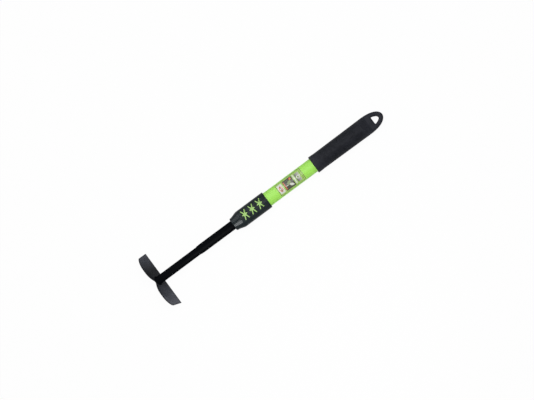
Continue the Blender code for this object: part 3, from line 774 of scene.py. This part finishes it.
def make_collar_core(material):
    """The core under the sleeve, with its raised, softly edged stars."""
    nose = COLLAR_BORE + COLLAR_NOSE_WALL - COLLAR_SLEEVE_WALL
    outer = COLLAR_RADIUS - COLLAR_SLEEVE_WALL - SEAT_GAP
    profile = [
        (CORE_FRONT, COLLAR_BORE),
        (CORE_FRONT, nose),
        (COLLAR_NOSE_END, nose + COLLAR_NOSE_RISE),
        (COLLAR_CONE_END, outer - COLLAR_CONE_SAG),
        (COLLAR_BODY_START, outer),
        (CORE_REAR, outer),
        (CORE_REAR, outer - CORE_WALL),
        (COLLAR_BODY_START, outer - CORE_WALL),
        (COLLAR_NOSE_END, nose + COLLAR_NOSE_RISE - CORE_WALL),
        (CORE_FRONT + CORE_WALL, nose - CORE_WALL),
        (CORE_FRONT + CORE_WALL, COLLAR_BORE),
    ]
    top = COLLAR_RADIUS - STAR_RECESS
    levels = [
        (outer - CORE_WALL / 2, 0.0),
        (top - STAR_EDGE_ROUND, 0.0),
        (top - STAR_EDGE_BREAK, -STAR_EDGE_BREAK),
        (top, -STAR_EDGE_ROUND),
    ]
    bm = combined(revolved(profile), "UNION", stars(levels))
    make_piece("collar_stars", bm, [material], "collar", "collar_core")


def make_collar_sleeve(material):
    """The soft sleeve with its star windows, every rim rounded."""
    nose = COLLAR_BORE + COLLAR_NOSE_WALL
    inner_nose = nose - COLLAR_SLEEVE_WALL + SEAT_GAP
    bore = COLLAR_RADIUS - COLLAR_SLEEVE_WALL
    outside = [
        (COLLAR_FRONT, COLLAR_BORE),
        (COLLAR_FRONT, nose - COLLAR_NOSE_DROP),
        (COLLAR_FRONT + COLLAR_NOSE_CHAMFER, nose),
        (COLLAR_NOSE_END, nose + COLLAR_NOSE_RISE),
        (COLLAR_CONE_END, COLLAR_RADIUS - COLLAR_CONE_SAG),
        (COLLAR_BODY_START, COLLAR_RADIUS),
        (COLLAR_REAR, COLLAR_RADIUS),
    ]
    inside = [
        (COLLAR_REAR, bore),
        (COLLAR_BODY_START, bore),
        (COLLAR_CONE_END, bore - COLLAR_CONE_SAG),
        (COLLAR_NOSE_END, inner_nose + COLLAR_NOSE_RISE),
        (COLLAR_FRONT + COLLAR_LIP, inner_nose),
        (COLLAR_FRONT + COLLAR_LIP, COLLAR_BORE),
    ]
    levels = [
        (bore - SEAT_GAP, STAR_WINDOW_GAP),
        (COLLAR_RADIUS - STAR_EDGE_ROUND, STAR_WINDOW_GAP),
        (COLLAR_RADIUS - STAR_EDGE_BREAK, STAR_WINDOW_GAP + STAR_EDGE_BREAK),
        (COLLAR_RADIUS + STAR_EDGE_ROUND, STAR_WINDOW_GAP + STAR_WINDOW_FLARE),
    ]
    bm = combined(revolved(softened(outside + inside, COLLAR_EDGE_ROUND)), "DIFFERENCE", stars(levels))
    make_piece("collar_cover", bm, [material], "collar", "collar_sleeve")


def grip_ring(x, half_width, half_height, corner):
    """One cross-section of the grip: four round corners, which meet where the grip is round."""
    corner = min(corner, half_width, half_height)
    ring = []
    for quarter in range(4):
        for step in range(GRIP_CORNER_POINTS):
            turn = math.pi / 2 * (quarter + (step + 0.5) / GRIP_CORNER_POINTS)
            y, z = math.sin(turn), math.cos(turn)
            middle_y = math.copysign(half_width - corner, y)
            middle_z = math.copysign(half_height - corner, z)
            ring.append(Vector((x, middle_y + corner * y, middle_z + corner * z)))
    return ring


def grip_body_profile():
    """(x, radius) stations from the rounded mouth, over the raised rim and along the swelling body."""
    rim = GRIP_MOUTH_RADIUS + GRIP_RIM_RISE
    body_start = GRIP_FRONT + GRIP_RIM_LENGTH / 2
    mouth = quarter_round(GRIP_MOUTH_ROUND, ROUND_STEPS)
    profile = [(GRIP_FRONT + back, rim - down) for down, back in mouth]
    for step in range(GRIP_BODY_STATIONS):
        share = (step / GRIP_BODY_STATIONS) ** GRIP_BODY_CROWDING
        x = mix(body_start, GRIP_TAIL_START, share)
        fall = smooth_step((x - body_start) * 2 / GRIP_RIM_LENGTH)
        profile.append((x, mix(rim, GRIP_MOUTH_RADIUS, fall) + GRIP_SWELL * share))
    return profile


def grip_tail_ring(x):
    """The tail's cross-section: round where it leaves the body, then flat with round edges."""
    along = x - GRIP_TAIL_START
    width = GRIP_SWELL_RADIUS * math.sqrt(1 - (along / GRIP_TAIL_LENGTH) ** GRIP_TAIL_FULLNESS)
    flat = smooth_step(along / GRIP_FLATTEN_LENGTH)
    corner = mix(width, GRIP_TAIL_EDGE_RADIUS, flat)
    into_end = max(0.0, GRIP_TAIL_EDGE_RADIUS - (GRIP_END - x))
    drop = GRIP_TAIL_EDGE_RADIUS - math.sqrt(GRIP_TAIL_EDGE_RADIUS**2 - into_end**2)
    return grip_ring(x, width, mix(width, GRIP_TAIL_THICKNESS / 2, flat) - drop, corner)


def grip_rings():
    """Cross-sections from the rim at the mouth, along the body and down the tail, with a small blunt tip."""
    rings = [grip_ring(x, radius, radius, radius) for x, radius in grip_body_profile()]
    for station in range(GRIP_TAIL_STATIONS - GRIP_TIP_STATIONS + 1):
        share = math.sin(math.pi / 2 * station / GRIP_TAIL_STATIONS)
        rings.append(grip_tail_ring(GRIP_TAIL_START + GRIP_TAIL_LENGTH * share))
    return rings


def hang_hole_outline():
    """The rounded triangle of the hang hole, flat towards the barrel, as clockwise (x, y) points."""
    rear = GRIP_END - HANG_HOLE_TIP_WALL
    front = rear - HANG_HOLE_LENGTH
    half = HANG_HOLE_WIDTH / 2
    corner = reversed(quarter_round(HANG_HOLE_CORNER, CORNER_STEPS))
    side = [(front + back, half - inward) for back, inward in corner]
    for step in range(1, HOLE_STATIONS):
        share = math.sin(math.pi / 2 * step / HOLE_STATIONS)
        x = mix(front + HANG_HOLE_CORNER, rear, share)
        side.append((x, half * (1 - share**HANG_HOLE_TAPER) ** HANG_HOLE_FULLNESS))
    return side + [(rear, 0.0)] + [(x, -y) for x, y in reversed(side)]


def widened(points, distance):
    """Moves a closed clockwise outline outwards by a distance."""
    moved = []
    for i, (x, y) in enumerate(points):
        before, after = Vector(points[i - 1]), Vector(points[(i + 1) % len(points)])
        along = (after - before).normalized()
        moved.append((x - along.y * distance, y + along.x * distance))
    return moved


def hang_hole_solid():
    """The solid that the hang hole takes out, flared at both faces so that its edges are rounded."""
    face = GRIP_TAIL_THICKNESS / 2
    upper = [(face - below, out) for below, out in quarter_round(HANG_HOLE_EDGE_ROUND, ROUND_STEPS)]
    upper.append((face + HANG_HOLE_EDGE_ROUND, HANG_HOLE_EDGE_ROUND))
    lower = [(-z, out) for z, out in reversed(upper)]
    outline = hang_hole_outline()
    return lofted([[(x, y, z) for x, y in widened(outline, out)] for z, out in lower + upper])


def grip_socket_solid():
    """The solid of the grip's blind bore."""
    radius = BARREL_RADIUS + SEAT_GAP
    ends = (GRIP_FRONT - GRIP_CUT_OVERSHOOT, BARREL_REAR + SEAT_GAP)
    return lofted([[(x, radius * y, radius * z) for y, z in directions()] for x in ends])


def make_grip(material):
    """The grip: a closed sleeve over the barrel, with a flattened tail and its hang hole."""
    bm = combined(lofted(grip_rings()), "DIFFERENCE", grip_socket_solid())
    bm = combined(bm, "DIFFERENCE", hang_hole_solid())
    make_piece("grip_body", bm, [material], "handle", "grip")


def rectangle(middle, size, corner):
    """A rectangle with rounded corners, as (along, round) points."""
    (x, y), (length, width) = middle, size
    corners = [(-1, -1), (1, -1), (1, 1), (-1, 1)]
    outline = [(x + a * length / 2, y + b * width / 2) for a, b in corners]
    return softened(outline, corner, LABEL_CORNER_STEPS)


def disc(middle, radius):
    """A round outline, as (along, round) points."""
    turns = [math.tau * side / DISC_SIDES for side in range(DISC_SIDES)]
    return [(middle[0] + radius * math.cos(turn), middle[1] + radius * math.sin(turn)) for turn in turns]


def leaf(base, tip):
    """A pointed leaf from its base to its tip."""
    base, tip = Vector(base), Vector(tip)
    beside = Vector((base.y - tip.y, tip.x - base.x)) * LEAF_FULLNESS
    shares = [step / LEAF_STEPS for step in range(LEAF_STEPS + 1)]
    edge = [(base.lerp(tip, share), beside * math.sin(math.pi * share)) for share in shares]
    return [place + off for place, off in edge] + [place - off for place, off in reversed(edge[1:-1])]


def chevron(tip, width, rise, thickness):
    """A V that points along the tool, towards the grip where its rise is positive."""
    x, y = tip
    half = width / 2
    front = [(x - rise, y - half), (x, y), (x - rise, y + half)]
    return front + [(px - math.copysign(thickness, rise), py) for px, py in reversed(front)]


def sliced(outline):
    """A flat outline cut into strips that run along the tool, so that it can bend round the barrel."""
    bm = bmesh.new()
    bm.faces.new([bm.verts.new((x, y, 0.0)) for x, y in outline])
    bmesh.ops.triangulate(bm, faces=bm.faces[:])
    lines = int(LABEL_WIDTH / 2 / BEND_STEP) + 1
    for line in range(-lines, lines + 1):
        every = bm.verts[:] + bm.edges[:] + bm.faces[:]
        place = (0, line * BEND_STEP, 0)
        bmesh.ops.bisect_plane(bm, geom=every, plane_co=place, plane_no=ACROSS, dist=BEND_TOLERANCE)
    return bm


def add_patch(bm, outline, low, high, material_index=0):
    """Adds a thin patch of film or ink, bent round the barrel between two radii.

    Its walls are added one by one, because extruding would list them in another order each run.
    """
    flat = sliced(outline)
    flat.verts.index_update()
    places = [(LABEL_MIDDLE + point.co.x, LABEL_TURN + point.co.y / BARREL_RADIUS) for point in flat.verts]
    sheet = [[corner.index for corner in face.verts] for face in flat.faces]
    rim = [[end.index for end in edge.verts] for edge in flat.edges if edge.is_boundary]
    flat.free()
    layers = []
    for radius in (low, high):
        layers.append([bm.verts.new(on_cylinder(x, radius, turn)) for x, turn in places])
    lower, upper = layers
    faces = [bm.faces.new([layer[i] for i in corners]) for layer in layers for corners in sheet]
    faces += [bm.faces.new((lower[i], lower[j], upper[j], upper[i])) for i, j in rim]
    for face in faces:
        face.material_index = material_index


def label_border():
    """A thin line round the label's edge, in four bars that stop short of each other."""
    length = LABEL_LENGTH - LABEL_MARGIN * 2
    width = LABEL_WIDTH - LABEL_MARGIN * 2
    bars = [((0, side * width / 2), (length, LABEL_LINE)) for side in (-1, 1)]
    bars += [((side * length / 2, 0), (LABEL_LINE, width - LABEL_LINE * 3)) for side in (-1, 1)]
    return [rectangle(middle, size, LABEL_LINE_CORNER) for middle, size in bars]


def label_print():
    """Three layers of (outline, ink) shapes, each over the one before.

    Arrows stand on a white panel, a seedling and a sun on a dark one, and a ring on a grey one, beside dots.
    """
    arrows_x = -0.0256
    arrow_reach = 0.0046
    ring_x = 0.0208
    panels = [(outline, "olive") for outline in label_border()]
    panels += [
        (rectangle((arrows_x, 0), (0.0120, 0.0225), 0.0010), "white"),
        (rectangle((-0.0040, 0), (0.0250, 0.0250), 0.0012), "charcoal"),
        (rectangle((0.0120, 0), (0.0030, 0.0235), 0.0004), "white"),
        (rectangle((ring_x, 0), (0.0110, 0.0215), 0.0010), "grey"),
    ]
    panels += [(disc((0.0292, 0.0042 * i), 0.0011), "olive") for i in range(-2, 3)]
    figures = [
        (chevron((arrows_x + arrow_reach, 0), 0.0120, 0.0026, 0.0018), "orange"),
        (chevron((arrows_x - arrow_reach, 0), 0.0120, -0.0026, 0.0018), "orange"),
        (rectangle((arrows_x, 0), (0.0014, 0.0165), 0.0004), "charcoal"),
        (rectangle((-0.0060, 0.0020), (0.0145, 0.0013), 0.0003), "white"),
        (leaf((-0.0085, 0.0020), (0.0030, -0.0052)), "sage"),
        (leaf((-0.0040, 0.0020), (0.0062, 0.0085)), "white"),
        (disc((0.0032, -0.0082), 0.0026), "orange"),
        (rectangle((-0.0142, 0), (0.0018, 0.0200), 0.0005), "orange"),
        (disc((ring_x, 0), 0.0040), "white"),
    ]
    centre = [(disc((ring_x, 0), 0.0024), "sage")]
    return panels, figures, centre


def make_label():
    """A film with a generic print and no words."""
    film = BARREL_RADIUS + LABEL_LIFT
    print_low = film + LABEL_FILM
    ground = ink("film_ground", (0.32, 0.53, 0.1), (0.35, 0.58, 0.12))
    bm = bmesh.new()
    add_patch(bm, rectangle((0, 0), (LABEL_LENGTH, LABEL_WIDTH), LABEL_CORNER), film, print_low)
    make_piece("label_film", bm, [ground], "handle")

    inks = {
        "white": ink("white_ink", (0.6, 0.61, 0.54), (0.7, 0.71, 0.64)),
        "charcoal": ink("charcoal_ink", (0.035, 0.037, 0.022), (0.055, 0.058, 0.036)),
        "grey": fading_ink("grey_ink", (0.09, 0.095, 0.08), (0.5, 0.52, 0.44)),
        "orange": ink("orange_ink", (0.6, 0.13, 0.05), (0.68, 0.17, 0.065)),
        "olive": ink("olive_ink", (0.07, 0.125, 0.008), (0.1, 0.17, 0.014)),
        "sage": ink("sage_ink", (0.15, 0.22, 0.07), (0.19, 0.27, 0.09)),
    }
    bm = bmesh.new()
    for level, shapes in enumerate(label_print()):
        low = print_low + LABEL_INK * (level - LABEL_INK_SINK)
        high = print_low + LABEL_INK * (level + 1)
        for outline, colour in shapes:
            add_patch(bm, outline, low, high, list(inks).index(colour))
    make_piece("label_print", bm, list(inks.values()), "handle")


def dress_hidden_nodes():
    """Gives the inner nylon pieces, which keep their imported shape, their moulded finish."""
    finishes = {
        "collet": nylon("grey_nylon_finish", (0.17, 0.17, 0.18), (0.22, 0.22, 0.23)),
        "guide_bush": nylon("white_nylon_finish", (0.64, 0.64, 0.6), (0.74, 0.74, 0.71)),
    }
    for node, material in finishes.items():
        for place in frame["nodes"][node].material_slots:
            place.material = material


def seen_directly(tree, share):
    """A share for rays that show the background: camera, glossy and transmission rays. 0 for the rest."""
    path = add_node(tree, "LightPath")
    total = path.outputs["Is Camera Ray"]
    for name in ("Is Glossy Ray", "Is Transmission Ray"):
        total = add_node(tree, "Math", {0: total, 1: path.outputs[name]}, operation="MAXIMUM").outputs[0]
    return add_node(tree, "Math", {0: total, 1: share}, operation="MULTIPLY").outputs[0]


def show_white(tree, lit, kind, share, output):
    """Mixes plain white into a floor or a world, for the rays that show the background."""
    white = add_node(tree, kind, {"Color": WHITE})
    sockets = {"Fac": seen_directly(tree, share), 1: lit.outputs[0], 2: white.outputs[0]}
    mixer = add_node(tree, "MixShader", sockets)
    tree.links.new(mixer.outputs[0], tree.nodes[output].inputs["Surface"])


def make_floor():
    """Pale floor that the camera sees nearly white, with its soft shadow kept."""
    finish = Finish("floor_finish", Base_Color=FLOOR_COLOUR, Roughness=0.9, Specular_IOR_Level=0.1)
    show_white(finish.tree, finish.shader, "Emission", FLOOR_WHITE_SHARE, "Material Output")
    half = FLOOR_SIZE / 2
    corners = [(-half, -half, 0), (half, -half, 0), (half, half, 0), (-half, half, 0)]
    mesh = bpy.data.meshes.new("floor")
    mesh.from_pydata(corners, [], [(0, 1, 2, 3)])
    mesh.materials.append(finish.material)
    floor = placed("floor", mesh)


def make_world():
    """A plain white surround: the camera and gloss see white, and other rays get a softer level."""
    world = bpy.data.worlds.new("studio")
    world.use_nodes = True
    soft = world.node_tree.nodes["Background"]
    soft.inputs["Color"].default_value = WHITE
    soft.inputs["Strength"].default_value = WORLD_STRENGTH
    show_white(world.node_tree, soft, "Background", 1.0, "World Output")
    bpy.context.scene.world = world


def add_softbox(name, place, target, size, power):
    """A square soft light that faces a target."""
    data = bpy.data.lights.new(name, "AREA")
    data.shape = "SQUARE"
    data.size = size
    data.energy = power
    lamp = placed(name, data)
    lamp.location = place
    lamp.rotation_mode = "QUATERNION"
    lamp.rotation_quaternion = (target - place).to_track_quat("-Z", "Y")
    return lamp


def add_gloss_panel(name, way, distance, size, power):
    """A soft light that shows only in gloss, out from the collar's front on a way and at a distance."""
    panel = add_softbox(name, START + way.normalized() * distance, START, size, power)
    panel.visible_diffuse = False


def camera_axes():
    """The picture's right, its up, and the way to the camera, in the frame."""
    tilt = Matrix.Rotation(TOOL_ROLL, 3, ALONG)
    down_right = tilt @ -ACROSS
    right = ALONG * math.cos(TOOL_SLANT) + down_right * math.sin(TOOL_SLANT)
    up = ALONG * math.sin(TOOL_SLANT) - down_right * math.cos(TOOL_SLANT)
    return right, up, tilt @ UP


def make_lights():
    """A large soft key above, a weak side light, and two panels that light only gloss.

    One glints on the collar's cone, and the other gives the tool's far side its sheen.
    """
    add_softbox("key", KEY_PLACE, Vector(), KEY_SIZE, KEY_POWER)
    add_softbox("side", SIDE_PLACE, TO_FRAME @ BLADE_START, SIDE_SIZE, SIDE_POWER)
    towards = camera_axes()[2]
    beside = ALONG.cross(towards)
    way = towards - ALONG * math.tan(GLINT_AHEAD) + beside * math.tan(GLINT_BESIDE)
    add_gloss_panel("cone_glint", way, GLINT_DISTANCE, GLINT_SIZE, GLINT_POWER)
    way = towards * math.cos(SHEEN_BESIDE) - beside * math.sin(SHEEN_BESIDE) - ALONG * math.tan(SHEEN_AHEAD)
    add_gloss_panel("far_sheen", way, SHEEN_DISTANCE, SHEEN_SIZE, SHEEN_POWER)


def make_camera():
    """Looks down on the tool as the photograph does, through a long lens."""
    right, up, towards = camera_axes()
    shift = (PICTURE_CENTRE_PX - COLLAR_FRONT_PX) * METRES_PER_PX
    target = START + right * shift.x - up * shift.y
    data = bpy.data.cameras.new("camera")
    data.sensor_width = CAMERA_SENSOR_WIDTH
    data.lens = CAMERA_SENSOR_WIDTH * CAMERA_DISTANCE / (PICTURE_WIDTH_PX * METRES_PER_PX)
    data.clip_end = CAMERA_CLIP_END
    camera = placed("camera", data)
    turn = Matrix((right, up, towards)).transposed().to_4x4()
    camera.matrix_world = Matrix.Translation(target + towards * CAMERA_DISTANCE) @ turn
    bpy.context.scene.camera = camera


make_camera()
make_world()
make_floor()
make_lights()
bpy.context.scene.view_settings.view_transform = "Standard"

black = powder_coat()
make_blade(blade_paint(), black)
make_weld(black)
make_neck(black)
make_shaft(black)
make_barrel(green_paint())
make_collar_core(green_plastic())
make_collar_sleeve(sleeve_rubber())
make_grip(grip_rubber())
make_label()
dress_hidden_nodes()
